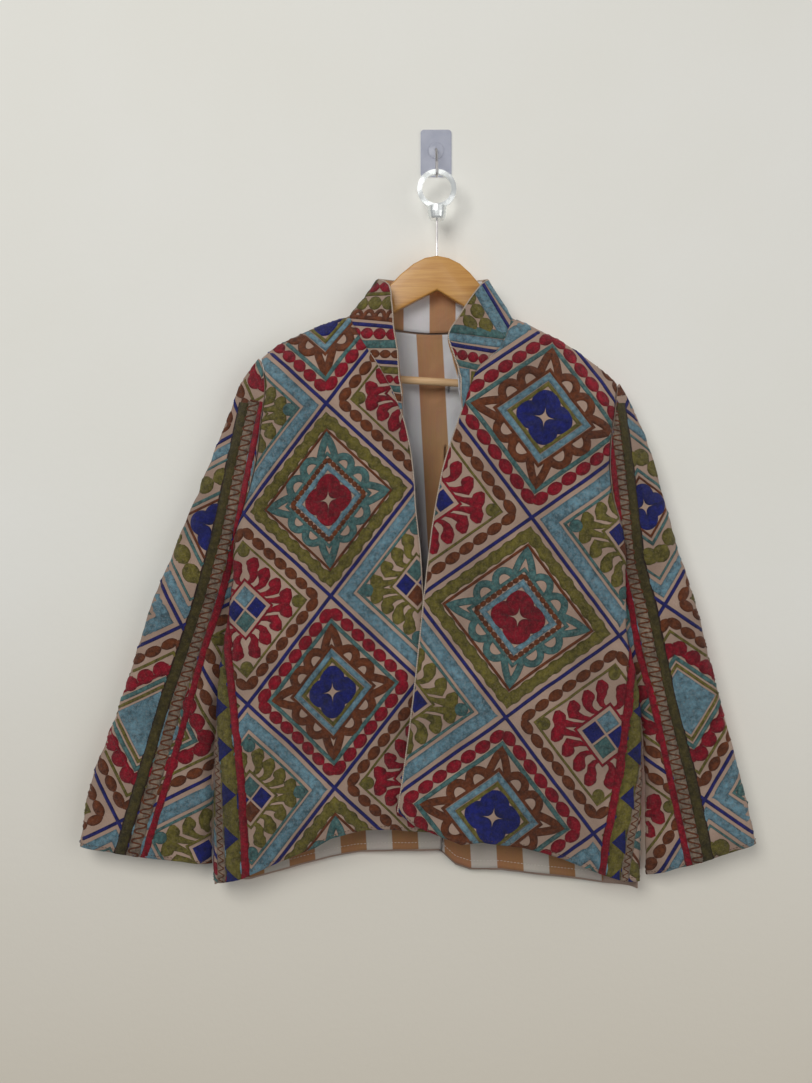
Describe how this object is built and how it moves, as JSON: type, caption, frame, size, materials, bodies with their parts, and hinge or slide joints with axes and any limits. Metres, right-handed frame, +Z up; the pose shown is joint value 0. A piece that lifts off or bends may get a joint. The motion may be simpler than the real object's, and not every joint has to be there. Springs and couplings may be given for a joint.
{
  "type": "embroidered velvet jacket on wooden hanger with wall hook",
  "caption": "Open-fronted velvet jacket with a standing collar and wide sleeves, hung flat on a wooden hanger from a ring on a stick-on wall hook.",
  "frame": {"origin": "centre of the wall plate's back face, on the wall", "axes": "+Z up, +Y into the wall, so the jacket's front faces -Y; +X to the right as one looks at the front"},
  "size_m": [0.8684, 0.082, 0.9858],
  "materials": {
    "velvet": "cotton velvet covered in chain-stitch embroidery",
    "lining": "plain-woven cotton with wide white and camel stripes",
    "beech": "varnished flat beech",
    "dowel": "bare dowel",
    "steel": "bright plated steel",
    "clear_plastic": "clear plastic with a faint violet tint"
  },
  "bodies": {
    "root": {"front_right": "velvet", "front_left": "velvet", "back": "velvet", "sleeve_right": "velvet", "sleeve_left": "velvet", "collar": "velvet", "back_lining": "lining", "collar_lining": "lining", "hanger": "beech", "trouser_bar": "dowel", "hanger_rod": "steel", "hanging_ring": "steel", "wall_hook": "steel", "wall_plate": "clear_plastic"}
  },
  "joints": []
}
